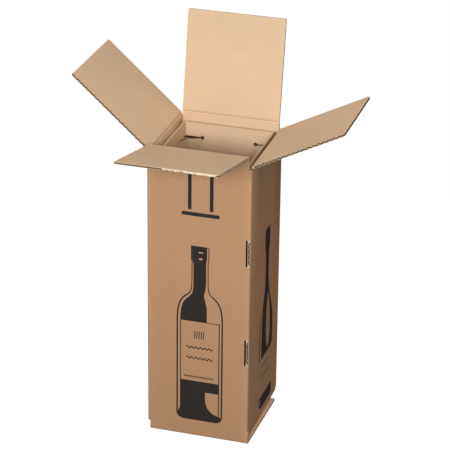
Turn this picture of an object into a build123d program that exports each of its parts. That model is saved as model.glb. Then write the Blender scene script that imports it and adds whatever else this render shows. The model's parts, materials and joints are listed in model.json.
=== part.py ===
from build123d import *
import os
from math import acos, cos, pi, radians, tan

# Shipping box for one bottle: an outer case folded from one sheet of corrugated board, four full
# length top flaps that swing on its creases, and a loose inner liner that keeps the bottle off the
# case. Origin at the middle of the case's footprint on the floor, +Z up, front towards -Y. Millimetres.

# Corrugated board
BOARD = 3.0                 # thickness of the finished board
FACING = 0.4                # flat paper on each side
MEDIUM = 0.3                # wavy paper between the facings
FLUTE_PITCH = 6.3           # crest to crest
GLUE_DEPTH = 0.05           # how far a crest is pressed into its facing
WAVE_POINTS = 4             # points along the wavy side of one flute

# Outer case
CASE_WIDTH = 122.0          # outside, along X
CASE_DEPTH = 124.0          # outside, along Y
FRONT_CREASE = 361.5        # fold of the front flap above the floor, in the middle of the board
LAYER_GAP = 0.4             # air between flaps that lie on each other
RIGHT_FLAP_DROP = 2.8       # the right flap's fold is this much lower than its layer needs
FOLD_RADIUS = 2.6           # outside of a folded corner
CORNER_SLOT_DEPTH = 3.0     # slots between the top flaps, below the lower of the two folds

# Creases that the top flaps swing on
CREASE_GAP = 0.2            # from the pivot line to the board on each side
CREASE_INNER_BEVEL = 45.0   # crushed slope on the inside, half of the closing fold of 90 degrees
CREASE_OUTER_BEVEL = 60.0   # crushed slope on the outside, half of the widest outward fold

# Top flaps
FLAP_CLEARANCE = 0.3        # between a closed flap and the walls round it
FLAP_SIDE_INSET = 2.75      # front and back flaps are narrower than their wall by this on each side
LEFT_FLAP_LAP = 2.6         # how far the left flap reaches over the top of the right wall
FLAP_ROOT_SOLID = 4.0       # board crushed flat beside the crease
FLAP_TIP_SOLID = 2.0        # board crushed flat along the free edge
FLAP_CORNER_RADIUS = 1.5
FRONT_FLAP_RISE = 12.5      # angles of the open flaps above the horizontal
BACK_FLAP_RISE = 80.0
LEFT_FLAP_RISE = 41.6
RIGHT_FLAP_RISE = 27.2

# Bottom of the case
SLOT_TOP = 11.5             # the slots between the bottom flaps reach up to here
BOTTOM_SIDE_INSET = 3.3     # bottom flaps are narrower than their wall by this on each side
BOTTOM_FLAP_LENGTH = 109.0  # from the wall's outer face to the flap's free edge
FRONT_BOTTOM_INSET = 1.25   # the outermost bottom flap is nearly as wide as its wall
FRONT_BOTTOM_SHIFT = 1.9    # it was closed a little off centre
FRONT_BOTTOM_SLIP = 2.0     # and its free edge has slipped sideways by this much more

# Glued side seam, inside the right wall at the back
SEAM_TAB_THICKNESS = 1.8    # the tab is crushed thinner than the board
SEAM_TAB_WIDTH = 30.0
SEAM_TAB_TAPER = 8.0        # how much shorter the tab is at its free edge, top and bottom
SEAM_TAB_CLEARANCE = 4.0    # from the tab's ends to the right flap's fold and to the bottom flaps

# Two stop tabs on the front right edge, cut from the front wall and left straight when it is folded
STOP_TAB_HEIGHT = 33.0
STOP_TAB_SPACING = 126.0    # between their middles
STOP_TAB_MIDDLE = 182.3     # height halfway between the two
STOP_TAB_SLOT = 2.2         # width of the slot that each tab leaves in the front wall
STOP_TAB_FLUTE_DEPTH = 5.0  # how deep the cut flutes in the tab's end are open

# Inner liner
LINER_GAP = 2.5             # to the walls of the case
LINER_TOP_GAP = 0.4         # below the right flap when it is closed
SLIT_BELOW_TOP = 18.8       # corner slits below the liner's top edge
SLIT_HEIGHT = 1.8
SLIT_REACH = 23.5           # from the liner's corner to the middle of the slit's end hole
SLIT_HOLE_RADIUS = 2.4
PAD_HEIGHT = 58.0           # the corner below a slit folds in over this height
PAD_PUSH_X = 7.5            # how far the back left corner is pushed in along X
PAD_PUSH_Y = 9.5            # and along Y

# The four sides, and the turns about Z that take the front side to each
FRONT = "front"
RIGHT = "right"
BACK = "back"
LEFT = "left"
SIDES = (FRONT, RIGHT, BACK, LEFT)
TURNS = {FRONT: 0, RIGHT: 90, BACK: 180, LEFT: 270}
UPRIGHT = 90                # rise of a flap that stands straight up

LAYER = BOARD + LAYER_GAP
HALF_WIDTH = CASE_WIDTH / 2
HALF_DEPTH = CASE_DEPTH / 2
CREASES = {FRONT: FRONT_CREASE, BACK: FRONT_CREASE - LAYER, LEFT: FRONT_CREASE - 2 * LAYER,
           RIGHT: FRONT_CREASE - 3 * LAYER - RIGHT_FLAP_DROP}
FLOORS = {FRONT: 0.0, BACK: LAYER, RIGHT: 2 * LAYER, LEFT: 3 * LAYER}
ACROSS = {FRONT: CASE_DEPTH, BACK: CASE_DEPTH, LEFT: CASE_WIDTH, RIGHT: CASE_WIDTH}
WALL_RUNS = {FRONT: CASE_WIDTH, BACK: CASE_WIDTH, LEFT: CASE_DEPTH, RIGHT: CASE_DEPTH}
RISES = {FRONT: FRONT_FLAP_RISE, BACK: BACK_FLAP_RISE, LEFT: LEFT_FLAP_RISE, RIGHT: RIGHT_FLAP_RISE}
FLOOR_TOP = FLOORS[LEFT] + BOARD
LINER_WIDTH = CASE_WIDTH - 2 * (BOARD + LINER_GAP)
LINER_DEPTH = CASE_DEPTH - 2 * (BOARD + LINER_GAP)
LINER_TOP = CREASES[RIGHT] - BOARD / 2 - LINER_TOP_GAP
SLIT_LEVEL = LINER_TOP - SLIT_BELOW_TOP


def across_plane(start):
    """Plane across a board that runs along X: its x is the thickness, inwards, and its y is up."""
    return Plane(origin=(start, 0, 0), x_dir=(0, 1, 0), z_dir=(1, 0, 0))


def on_side(side, height):
    """Takes a shape from the front side's frame, outer face at the origin, to one of the four sides."""
    return Location((0, 0, height), (0, 0, TURNS[side])) * Location((0, -ACROSS[side] / 2, 0))


def flute_outlines(start, end):
    """Outlines of the air on both sides of the wavy medium, as (thickness, height) points."""
    crest = BOARD / 2 - FACING - MEDIUM / 2
    lip = acos((crest - GLUE_DEPTH) / crest) * FLUTE_PITCH / (2 * pi)
    waves = int((end - start) / FLUTE_PITCH)
    first = start + (end - start - waves * FLUTE_PITCH) / 2
    outlines = []
    for half_wave in range(2 * waves - 1):
        side = 1 if half_wave % 2 == 0 else -1
        low = first + half_wave * FLUTE_PITCH / 2
        facing_side = side * (crest + MEDIUM / 2 - GLUE_DEPTH)
        outline = [(facing_side, low + FLUTE_PITCH - lip), (facing_side, low + lip)]
        for step in range(1, WAVE_POINTS + 1):
            along = lip + (FLUTE_PITCH - 2 * lip) * step / (WAVE_POINTS + 1)
            medium_side = side * (crest * cos(2 * pi * along / FLUTE_PITCH) + MEDIUM / 2)
            outline.append((medium_side, low + along))
        outlines.append(outline)
    return outlines


def flap_at_rest(side):
    """One top flap, its corrugation open at both side edges, at the angle where it stands open."""
    half = BOARD / 2
    if side in (FRONT, BACK):
        width = CASE_WIDTH - 2 * FLAP_SIDE_INSET
    else:
        width = CASE_DEPTH - 2 * (BOARD + FLAP_CLEARANCE)
    length = ACROSS[side] - 3 * half - FLAP_CLEARANCE
    if side == LEFT:
        length += LEFT_FLAP_LAP
    inner_root = CREASE_GAP + half * tan(radians(CREASE_INNER_BEVEL))
    outer_root = CREASE_GAP + half * tan(radians(CREASE_OUTER_BEVEL))
    with BuildPart() as flap:
        with BuildSketch(across_plane(-width / 2)):
            with BuildLine():
                Polyline((0, CREASE_GAP), (half, inner_root), (half, length), (-half, length),
                         (-half, outer_root), close=True)
            make_face()
            for outline in flute_outlines(FLAP_ROOT_SOLID, length - FLAP_TIP_SOLID):
                Polygon(*outline, align=None, mode=Mode.SUBTRACT)
        extrude(amount=width)
        free_corners = flap.edges().filter_by(Axis.Y).group_by(Axis.Z)[-1]
        fillet(free_corners, FLAP_CORNER_RADIUS)
    lean = Location((0, half, 0), (UPRIGHT - RISES[side], 0, 0))
    return on_side(side, CREASES[side]) * lean * flap.part


def air_above_crease(side):
    """What is cut away above one wall to leave the crushed crease that its flap swings on."""
    run = WALL_RUNS[side] - 2 * (FLAP_SIDE_INSET if side in (FRONT, BACK) else BOARD)
    half = BOARD / 2
    reach = half + BOARD
    inner = CREASE_GAP + reach * tan(radians(CREASE_INNER_BEVEL))
    outer = CREASE_GAP + reach * tan(radians(CREASE_OUTER_BEVEL))
    above = CREASES[FRONT] - CREASES[side] + BOARD
    with BuildPart() as air:
        with BuildSketch(across_plane(-run / 2)):
            with BuildLine():
                Polyline((0, -CREASE_GAP), (reach, -inner), (reach, above), (-reach, above),
                         (-reach, -outer), close=True)
            make_face()
        extrude(amount=run)
    return on_side(side, CREASES[side]) * Location((0, half, 0)) * air.part


def air_in_corner_slots():
    """Slots between neighbouring top flaps: each corner of the case stops below the lower fold."""
    slots = []
    for end in (FRONT, BACK):
        for side in (LEFT, RIGHT):
            floor = min(CREASES[end], CREASES[side]) - CORNER_SLOT_DEPTH
            height = CREASES[FRONT] + BOARD - floor
            x = HALF_WIDTH - FLAP_SIDE_INSET
            y = HALF_DEPTH - BOARD
            slot = Box(2 * FLAP_SIDE_INSET, 2 * BOARD, height, align=(Align.MIN, Align.MIN, Align.MIN))
            slot = Location((x, y, floor)) * slot
            if side == LEFT:
                slot = mirror(slot, Plane.YZ)
            if end == FRONT:
                slot = mirror(slot, Plane.XZ)
            slots.append(slot)
    return slots


def wall_plan():
    """Four walls folded from one strip; at the back right the wall ends square outside the seam."""
    seam = HALF_WIDTH - BOARD
    with BuildSketch() as plan:
        RectangleRounded(CASE_WIDTH, CASE_DEPTH, FOLD_RADIUS)
        with Locations((HALF_WIDTH, HALF_DEPTH)):
            Rectangle(BOARD, 2 * BOARD, align=(Align.MAX, Align.MAX))
        with Locations((seam, HALF_DEPTH)):
            Rectangle(FOLD_RADIUS, FOLD_RADIUS, align=(Align.MAX, Align.MAX), mode=Mode.SUBTRACT)
        with Locations((seam - FOLD_RADIUS, HALF_DEPTH - FOLD_RADIUS)):
            Circle(FOLD_RADIUS)
        Rectangle(CASE_WIDTH - 2 * BOARD, CASE_DEPTH - 2 * BOARD, mode=Mode.SUBTRACT)
    return plan.sketch


def bottom_fold(side):
    """Lower end of one wall and the bottom flap that is folded in from it."""
    inset, shift, slip = BOTTOM_SIDE_INSET, 0.0, 0.0
    if side == FRONT:
        inset, shift, slip = FRONT_BOTTOM_INSET, FRONT_BOTTOM_SHIFT, FRONT_BOTTOM_SLIP
    left = inset - WALL_RUNS[side] / 2 + shift
    right = WALL_RUNS[side] / 2 - inset + shift
    wall_top = SLOT_TOP + BOARD - FLOORS[side]
    with BuildPart() as fold:
        with BuildSketch(across_plane(left)) as section:
            with BuildLine():
                Polyline((0, 0), (2 * BOARD, 0), (2 * BOARD, BOARD), (BOARD, BOARD), (BOARD, wall_top),
                         (0, wall_top), close=True)
            make_face()
            fillet(section.vertices().sort_by_distance((0, 0, 0))[0], FOLD_RADIUS)
        extrude(amount=right - left)
        with BuildSketch():
            Polygon((left, 2 * BOARD), (right, 2 * BOARD), (right + slip, BOTTOM_FLAP_LENGTH),
                    (left + slip, BOTTOM_FLAP_LENGTH), align=None)
        extrude(amount=BOARD)
    return on_side(side, FLOORS[side]) * fold.part


def seam_tab():
    """Tab of the glued seam: the end of the back wall, folded in behind the right wall."""
    corner = HALF_DEPTH - BOARD
    edge = corner - SEAM_TAB_WIDTH
    bottom = FLOOR_TOP + SEAM_TAB_CLEARANCE
    top = CREASES[RIGHT] - SEAM_TAB_CLEARANCE
    with BuildPart() as tab:
        with BuildSketch(Plane.YZ.offset(HALF_WIDTH - BOARD)):
            Polygon((corner, bottom), (corner, top), (edge, top - SEAM_TAB_TAPER),
                    (edge, bottom + SEAM_TAB_TAPER), align=None)
        extrude(amount=-SEAM_TAB_THICKNESS)
    return tab.part


def outer_case():
    """Case with its closed bottom, the crushed creases of the top flaps and the two stop tabs."""
    plan = wall_plan()
    air = [air_above_crease(side) for side in SIDES] + air_in_corner_slots()
    folds = [bottom_fold(side) for side in SIDES]
    tab = seam_tab()
    with BuildPart() as case:
        with BuildSketch(Plane.XY.offset(SLOT_TOP)):
            add(plan)
        extrude(amount=CREASES[FRONT] - SLOT_TOP)
        add(air, mode=Mode.SUBTRACT)
        add(folds)
        add(tab)
        for level in (STOP_TAB_MIDDLE - STOP_TAB_SPACING / 2, STOP_TAB_MIDDLE + STOP_TAB_SPACING / 2):
            with Locations((HALF_WIDTH - BOARD, -HALF_DEPTH, level)):
                Box(BOARD, BOARD, STOP_TAB_HEIGHT, align=(Align.MIN, Align.MIN, Align.CENTER))
                Box(STOP_TAB_SLOT, BOARD, STOP_TAB_HEIGHT, align=(Align.MAX, Align.MIN, Align.CENTER),
                    mode=Mode.SUBTRACT)
            cut_end = Plane(origin=(HALF_WIDTH - BOARD / 2, -HALF_DEPTH, level), x_dir=(1, 0, 0),
                            z_dir=(0, -1, 0))
            with BuildSketch(cut_end):
                for outline in flute_outlines(-STOP_TAB_HEIGHT / 2, STOP_TAB_HEIGHT / 2):
                    Polygon(*outline, align=None)
            extrude(amount=-STOP_TAB_FLUTE_DEPTH, mode=Mode.SUBTRACT)
    return case.part


def facets_of_pushed_corner():
    """Outside planes of the two flat facets that form when the back left corner is pushed in."""
    x = -LINER_WIDTH / 2
    y = LINER_DEPTH / 2
    foot = Vector(x, y, SLIT_LEVEL - PAD_HEIGHT)
    tip = Vector(x + PAD_PUSH_X, y - PAD_PUSH_Y, SLIT_LEVEL)
    left_end = Vector(x, y - SLIT_REACH, SLIT_LEVEL)
    back_end = Vector(x + SLIT_REACH, y, SLIT_LEVEL)
    return [Plane(origin=foot, z_dir=(tip - foot).cross(left_end - foot)),
            Plane(origin=foot, z_dir=(back_end - foot).cross(tip - foot))]


def liner_block(width, depth, radius, inset):
    """Full block of the liner's outside or inside, with the back left corner pushed in."""
    with BuildPart() as block:
        with BuildSketch(Plane.XY.offset(FLOOR_TOP)):
            if radius:
                RectangleRounded(width, depth, radius)
            else:
                Rectangle(width, depth)
        extrude(amount=LINER_TOP - FLOOR_TOP)
    below_slit = Box(width, depth, SLIT_LEVEL - FLOOR_TOP, align=(Align.CENTER, Align.CENTER, Align.MAX))
    quarter = Location((0, 0, SLIT_LEVEL)) * below_slit
    shape = block.part
    for facet in facets_of_pushed_corner():
        shape -= split(quarter, bisect_by=facet.offset(inset), keep=Keep.BOTTOM)
    return shape


def corner_slits():
    """A slit round each corner of the liner, ending in a round hole on either side."""
    cuts = []
    height = SLIT_LEVEL + SLIT_HEIGHT / 2
    for x_side in (-1, 1):
        for y_side in (-1, 1):
            x = x_side * LINER_WIDTH / 2
            y = y_side * LINER_DEPTH / 2
            hole_x = x - x_side * SLIT_REACH
            hole_y = y - y_side * SLIT_REACH
            slit = Box(SLIT_REACH, SLIT_REACH, SLIT_HEIGHT)
            cuts.append(Pos((x + hole_x) / 2, (y + hole_y) / 2, height) * slit)
            cuts.append(Pos(hole_x, y, height) * Rot(90, 0, 0) * Cylinder(SLIT_HOLE_RADIUS, 3 * BOARD))
            cuts.append(Pos(x, hole_y, height) * Rot(0, 90, 0) * Cylinder(SLIT_HOLE_RADIUS, 3 * BOARD))
    return cuts


def inner_liner():
    """Loose sleeve of the same board that stands on the bottom flaps."""
    outside = liner_block(LINER_WIDTH, LINER_DEPTH, FOLD_RADIUS, 0)
    inside = liner_block(LINER_WIDTH - 2 * BOARD, LINER_DEPTH - 2 * BOARD, 0, BOARD)
    sleeve = outside - inside
    for cut in corner_slits():
        sleeve -= cut
    return sleeve


os.makedirs("parts", exist_ok=True)
export_step(outer_case(), "parts/outer_case.step")
export_step(inner_liner(), "parts/inner_liner.step")
export_step(flap_at_rest(FRONT), "parts/front_flap.step")
export_step(flap_at_rest(BACK), "parts/back_flap.step")
export_step(flap_at_rest(LEFT), "parts/left_flap.step")
export_step(flap_at_rest(RIGHT), "parts/right_flap.step")
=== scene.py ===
import json
import math
from collections import namedtuple

import bmesh
import bpy
from mathutils import Matrix, Vector
from mathutils.noise import noise as smooth_noise


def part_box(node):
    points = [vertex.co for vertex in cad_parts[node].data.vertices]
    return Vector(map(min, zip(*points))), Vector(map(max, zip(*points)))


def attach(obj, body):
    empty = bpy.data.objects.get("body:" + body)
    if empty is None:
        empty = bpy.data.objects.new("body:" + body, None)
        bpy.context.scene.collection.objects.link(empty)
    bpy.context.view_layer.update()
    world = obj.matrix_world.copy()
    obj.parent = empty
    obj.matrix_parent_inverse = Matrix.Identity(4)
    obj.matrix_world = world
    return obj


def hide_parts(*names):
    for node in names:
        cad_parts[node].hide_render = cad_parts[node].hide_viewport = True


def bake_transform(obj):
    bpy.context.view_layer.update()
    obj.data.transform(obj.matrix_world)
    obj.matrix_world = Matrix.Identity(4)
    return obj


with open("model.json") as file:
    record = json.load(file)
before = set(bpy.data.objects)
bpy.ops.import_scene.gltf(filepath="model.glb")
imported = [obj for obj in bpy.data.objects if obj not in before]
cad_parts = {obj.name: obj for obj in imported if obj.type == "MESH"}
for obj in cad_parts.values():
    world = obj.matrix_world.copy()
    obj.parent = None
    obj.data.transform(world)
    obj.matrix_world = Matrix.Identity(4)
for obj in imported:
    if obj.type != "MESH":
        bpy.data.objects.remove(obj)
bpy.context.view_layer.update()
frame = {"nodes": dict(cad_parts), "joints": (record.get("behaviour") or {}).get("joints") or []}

# Camera, fitted to the edges of the box in the photograph
CAMERA_TARGET = Vector((0.0021, 0.0348, 0.2306))
CAMERA_DISTANCE = 2.510
CAMERA_YAW = math.radians(16.72)
CAMERA_PITCH = math.radians(24.855)
CAMERA_ROLL = math.radians(0.68)
CAMERA_LENS = 172.1

# Light
WORLD_STRENGTH = 0.38
WORLD_TINT = (1.0, 0.95, 0.88)
KEY_PLACE = (0.16, -1.10, 0.74)
KEY_SIZE = (0.8, 0.26)
KEY_POWER = 11.7
KEY_TINT = (0.98, 1.0, 1.02)
TOP_PLACE = (0.0, 0.1, 2.1)
TOP_SIZE = (1.6, 1.6)
TOP_POWER = 2.5
REAR_PLACE = (-1.5, 1.9, 1.1)
REAR_SIZE = (1.4, 1.4)
REAR_POWER = 9.0
WARM_TINT = (1.0, 0.91, 0.78)
LIGHT_TARGET = (0, 0, 0.30)
REAR_TARGET = (0, 0, 0.25)

# Floor: the light it throws back, how bright it is to the camera, and its reach
FLOOR_BOUNCE = 0.10
FLOOR_SEEN = 0.30
FLOOR_GLOW = 0.86
FLOOR_REACH = 30.0

# Board, in metres, with a thicker middle paper than the solids have
BOARD = 0.003
FACING = 0.0003
MEDIUM = 0.0006
FLUTE_PITCH = 0.0063
FLUTE_TURN = 2 * math.pi / FLUTE_PITCH
WAVE_HEIGHT = BOARD / 2 - FACING - MEDIUM / 2

# How far the wavy paper bites into the faces, and the slack for telling faces apart by place
WAVE_BITE = 0.00006
HAIR = 0.00005

# Upright folds of the case: their outer radius, and the bend of the side walls towards them
FOLD_RADIUS = 0.0026
EASE_REACH = 0.032
EASE_DROP = 0.0062

# Top folds: gap at the pivot, bevels of the crushed board, and degrees from upright when hung open
CREASE_GAP = 0.0002
INNER_BEVEL = math.radians(45)
OUTER_BEVEL = math.radians(60)
INNER_ROOT = CREASE_GAP + BOARD / 2 * math.tan(INNER_BEVEL)
OUTER_ROOT = CREASE_GAP + BOARD / 2 * math.tan(OUTER_BEVEL)
WIDEST_LEAN = 120

# Paper over a top fold. Its dip, inside (1) and outside (-1), and its groove: most depth, share of room
FOLD_DIP = {1: (0.00016, 0.22), -1: (0.00096, 0.42)}
FOLD_GROOVE = (0.00019, 0.28)
GROOVE_WIDTH = 0.13
FOLD_PAPER = 0.00035
FOLD_OVERLAP = 0.0006
FOLD_LIFT = 0.00003

# Painted shade along the paper of a fold, as a dark line: strength and width, wider and darker at the right
# flap's inside fold
FOLD_SHADE_LINE = (0.50, 0.10)
WIDE_FOLD_SHADE_LINES = {"right_flap_inner_fold": (0.92, 0.40)}

# Flaps: lengths that are crushed at the fold and at the tip, and radius of the corners
ROOT_SOLID = 0.004
TIP_SOLID = 0.002
CORNER_RADIUS = 0.0015

# Stop tabs on the front right edge: skin of the cut end, depth of the flutes, slot behind, places
TAB_END = 0.0002
TAB_FLUTE_START = 0.0012
TAB_FLUTE_DEPTH = 0.0052
TAB_SLOT = 0.0022
TAB_HEIGHT = 0.033
TAB_SPACING = 0.126
TAB_MIDDLE = 0.1823

# Painted shade behind the liner's slits, down from its top, behind the slots and by the right fold
SLIT_SHADE_LOW = 0.0226
SLIT_SHADE_HIGH = 0.0145
SLOT_SHADE_REACH = 0.0045
SLOT_SHADE_MARGIN = 0.003
FOLD_SHADE_FADE = 0.030
FOLD_SHADE_STRENGTH = 0.8

# Wear of the cut edges, in metres
SIDE_RAGGED = 0.00022
TIP_RAGGED = 0.00012
TIP_PINCH = 0.00035
TIP_BACK = 0.00016
CORE_BACK = 0.0007
FACE_BOW = 0.00005
CRUSH_DEPTH = 0.0012
TORN_START = -0.006
TORN_END_GAP = 0.0015

# Paper colours, linear; the fluting darkened also as painted shade, and painted shade for deep voids and
# crevices
OUTSIDE_KRAFT = (0.520, 0.290, 0.158)
INSIDE_KRAFT = (0.760, 0.540, 0.355)
CUT_EDGE = (0.70, 0.51, 0.34)
TORN_EDGE = (0.80, 0.66, 0.50)
# Middle paper, darker than the facings and darkened further as painted shade of the deep flutes
FLUTING_AND_SHADE = (0.165, 0.108, 0.066)
# Painted shade in deep voids: the air of cut flutes and the level edges of the liner's slits
DEEP_SHADE = (0.040, 0.025, 0.016)
# Painted shade in narrow gaps: the tab slots, behind the liner's slits, beside the right fold and along the
# folds
CREVICE_SHADE = (0.110, 0.050, 0.022)
INK = (0.030, 0.026, 0.024)

# Surface of paper, and the upright part of the normal that tells a level face
ROUGHNESS = 0.9
BUMP_DEPTH = 0.0004
LEVEL_FACE = 0.6

UP = Vector((0, 0, 1))
INK_LIFT = 0.00006
MILLIMETRE = 0.001

case_low, case_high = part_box("outer_case")
HALF_WIDTH = -case_low.x
HALF_DEPTH = case_high.y
liner_low, liner_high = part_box("inner_liner")


# Node helpers

def node_factory(tree):
    """A short way to add nodes: add(kind, values by input name or number, settings)."""
    def add(kind, inputs=None, **settings):
        node = tree.nodes.new(kind)
        for name, value in settings.items():
            setattr(node, name, value)
        for name, value in (inputs or {}).items():
            if isinstance(value, bpy.types.NodeSocket):
                tree.links.new(value, node.inputs[name])
            else:
                node.inputs[name].default_value = value
        return node
    return add


def new_material(name):
    material = bpy.data.materials.new(name)
    material.use_nodes = True
    material.node_tree.nodes.clear()
    return material, node_factory(material.node_tree)


def math_node(add, operation, a, b=0.0, c=None):
    inputs = {0: a, 1: b}
    if c is not None:
        inputs[2] = c
    return add("ShaderNodeMath", inputs, operation=operation).outputs[0]


def above(add, value, limit):
    """1 where a value is above a limit, else 0."""
    return math_node(add, "GREATER_THAN", value, limit)


def below(add, value, limit):
    """1 where a value is below a limit, else 0."""
    return math_node(add, "LESS_THAN", value, limit)


def larger(add, a, b):
    return math_node(add, "MAXIMUM", a, b)


def absolute(add, value):
    return math_node(add, "ABSOLUTE", value)


def product(add, *factors):
    result = factors[0]
    for factor in factors[1:]:
        result = math_node(add, "MULTIPLY", result, factor)
    return result


def without(add, factor):
    """What a factor from 0 to 1 leaves."""
    return math_node(add, "SUBTRACT", 1.0, factor)


def short_of(add, value, half):
    """How far the size of a coordinate falls short of a half width."""
    return math_node(add, "SUBTRACT", half, absolute(add, value))


def step_between(add, value, low, high):
    """Smooth step of a value from 0 at low to 1 at high."""
    inputs = {"Value": value, "From Min": low, "From Max": high}
    return add("ShaderNodeMapRange", inputs, interpolation_type="SMOOTHSTEP").outputs[0]


def mix_colour(add, factor, a, b, blend="MIX"):
    def wide(value):
        return (*value, 1.0) if isinstance(value, tuple) and len(value) == 3 else value
    node = add("ShaderNodeMix", {0: factor, 6: wide(a), 7: wide(b)}, data_type="RGBA", blend_type=blend)
    return node.outputs[2]


def scaled(colour, factor):
    return tuple(factor * c for c in colour)


def grain(add, point, scale, detail=3.0, stretch=(1, 1, 1)):
    """Noise from 0 to 1 about one half, drawn out along the axes where stretch is small."""
    mapped = add("ShaderNodeMapping", {"Vector": point, "Scale": tuple(scale * s for s in stretch)})
    return add("ShaderNodeTexNoise", {"Vector": mapped.outputs[0], "Scale": 1.0, "Detail": detail}).outputs[0]


def around(add, value, amount):
    """Turns a 0 to 1 noise into a factor about one."""
    return math_node(add, "MULTIPLY_ADD", value, 2 * amount, 1 - amount)


# Paper. Its points are given as place along the flutes, place across them, and depth.

def over_flutes(add, across):
    """Wave from -1 to 1, one turn for each flute."""
    return math_node(add, "SINE", math_node(add, "MULTIPLY", across, FLUTE_TURN))


def kraft_colour(add, board, base):
    """Paper with soft clouds, streaks along the flutes, fine fibres, a few dark flecks, and a faint painted
    shade of the washboard over the flutes.
    """
    cloud = around(add, grain(add, board, scale=24.0, detail=4.0), amount=0.060)
    streak = around(add, grain(add, board, scale=420.0, stretch=(0.04, 1, 0.3)), amount=0.030)
    fibre = around(add, grain(add, board, scale=1500.0, detail=2.0, stretch=(0.3, 1, 1)), amount=0.050)
    across = add("ShaderNodeSeparateXYZ", {0: board}).outputs[1]
    wave = over_flutes(add, across)
    # Painted shade: the colour darkens and lightens a little with the washboard over the flutes
    washboard = math_node(add, "MULTIPLY_ADD", wave, 0.009, 1.0)
    colour = mix_colour(add, 1.0, base, product(add, cloud, streak, fibre, washboard), "MULTIPLY")
    fleck = grain(add, board, scale=1300.0, detail=1.0, stretch=(0.4, 1, 1))
    fleck = product(add, step_between(add, fleck, low=0.68, high=0.74), 0.30)
    return mix_colour(add, fleck, colour, scaled(base, 0.5)), wave


def paper_height(add, board, wave):
    """Fine unevenness of the paper, and the washboard over the flutes."""
    fine = grain(add, board, scale=1600.0)
    broad = grain(add, board, scale=90.0, detail=2.0)
    height = math_node(add, "MULTIPLY_ADD", fine, 0.08, product(add, broad, 0.45))
    return math_node(add, "MULTIPLY_ADD", wave, 0.035, height)


def paper_surface(material, add, colour, height, strength=0.25, base=None, shine=0.15):
    inputs = {"Height": height, "Strength": strength, "Distance": BUMP_DEPTH}
    if base:
        inputs["Normal"] = base
    bump = add("ShaderNodeBump", inputs)
    shader = add("ShaderNodeBsdfPrincipled", {"Base Color": colour, "Roughness": ROUGHNESS,
                                              "Specular IOR Level": shine, "Normal": bump.outputs[0]})
    add("ShaderNodeOutputMaterial", {"Surface": shader.outputs[0]})
    return material


def kept_place(add):
    """Place on the board, which the flaps and folds keep in an attribute."""
    return add("ShaderNodeAttribute", attribute_name="board").outputs["Vector"]


def sheet_material(name, base):
    """Paper of the flaps and folds, with painted shade where their fold_shade attribute says so."""
    material, add = new_material(name)
    board = kept_place(add)
    fold_shade = add("ShaderNodeAttribute", attribute_name="fold_shade").outputs["Fac"]
    colour, wave = kraft_colour(add, board, base)
    # Painted shade along the folds, darkest at the middle of each fold's paper
    colour = mix_colour(add, fold_shade, colour, CREVICE_SHADE)
    return paper_surface(material, add, colour, paper_height(add, board, wave))


def edge_material(name, base, dark):
    """Cut edge of board, or the bare fluting, whose dark tone is partly painted shade: uneven fibres between
    a light and a dark tone.
    """
    material, add = new_material(name)
    board = kept_place(add)
    fibre = grain(add, board, scale=1100.0, stretch=(0.5, 1, 1))
    patch = grain(add, board, scale=160.0, detail=2.0)
    colour = mix_colour(add, step_between(add, fibre, low=0.40, high=0.72), base, dark)
    colour = mix_colour(add, 1.0, colour, around(add, patch, amount=0.16), "MULTIPLY")
    return paper_surface(material, add, colour, fibre, strength=0.5, shine=0.0)


def wall_points(add):
    """Object place and normal, and the same place in terms of the board of the upright walls."""
    coords = add("ShaderNodeTexCoord")
    place = add("ShaderNodeSeparateXYZ", {0: coords.outputs["Object"]}).outputs
    normal = add("ShaderNodeSeparateXYZ", {0: coords.outputs["Normal"]}).outputs
    run = math_node(add, "ADD", place[0], place[1])
    depth = math_node(add, "SUBTRACT", place[0], place[1])
    board = add("ShaderNodeCombineXYZ", {0: run, 1: place[2], 2: depth}).outputs[0]
    return place, normal, board


def worn_and_highlit_outside(add, board, from_x, from_y):
    """Outside paper, paler where it is bent and scuffed along the upright folds, and with a painted highlight
    in a band beside them.
    """
    outside, wave = kraft_colour(add, board, OUTSIDE_KRAFT)
    scuff = grain(add, board, scale=260.0, detail=4.0, stretch=(1, 0.35, 1))
    scuff = step_between(add, scuff, low=0.36, high=0.64)
    reach = math_node(add, "ADD", from_x, from_y)
    fold = without(add, step_between(add, reach, low=0.0012, high=0.0042))
    # Painted highlight: a band beside each upright fold made paler
    beside = without(add, step_between(add, reach, low=0.002, high=0.012))
    pale = math_node(add, "ADD", product(add, fold, scuff, 0.20), product(add, beside, 0.16))
    return mix_colour(add, pale, outside, scaled(OUTSIDE_KRAFT, 1.35)), wave


def eased_side(add, from_y, height):
    """Normal of a side wall that turns a little towards its upright folds, more so near the top."""
    nearness = without(add, math_node(add, "DIVIDE", from_y, EASE_REACH))
    nearness = larger(add, nearness, 0.0)
    rise = math_node(add, "MULTIPLY_ADD", step_between(add, height, low=0.12, high=0.32), 0.85, 0.15)
    drop = product(add, nearness, nearness, rise, -EASE_DROP)
    return add("ShaderNodeBump", {"Height": drop, "Strength": 1.0, "Distance": 1.0}).outputs[0]


def cut_board(add, board, depth, height):
    """Cut edge of a wall: two pale faces, a wavy pale line between them, and painted shade in the open
    flutes' air.
    """
    middle = math_node(add, "SUBTRACT", depth, BOARD / 2)
    wave = over_flutes(add, height)
    off_wave = absolute(add, math_node(add, "MULTIPLY_ADD", wave, -WAVE_HEIGHT, middle))
    off_middle = absolute(add, middle)
    clear_of_wave = step_between(add, off_wave, low=0.00018, high=0.00034)
    clear_of_faces = without(add, step_between(add, off_middle, low=0.00095, high=0.00112))
    # Painted shade where the open flutes leave air between the faces and the wavy paper
    air = product(add, clear_of_wave, clear_of_faces)
    fibre = step_between(add, grain(add, board, scale=1100.0), low=0.4, high=0.75)
    pale = mix_colour(add, fibre, CUT_EDGE, scaled(CUT_EDGE, 0.7))
    return mix_colour(add, product(add, air, 0.9), pale, DEEP_SHADE)


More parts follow.
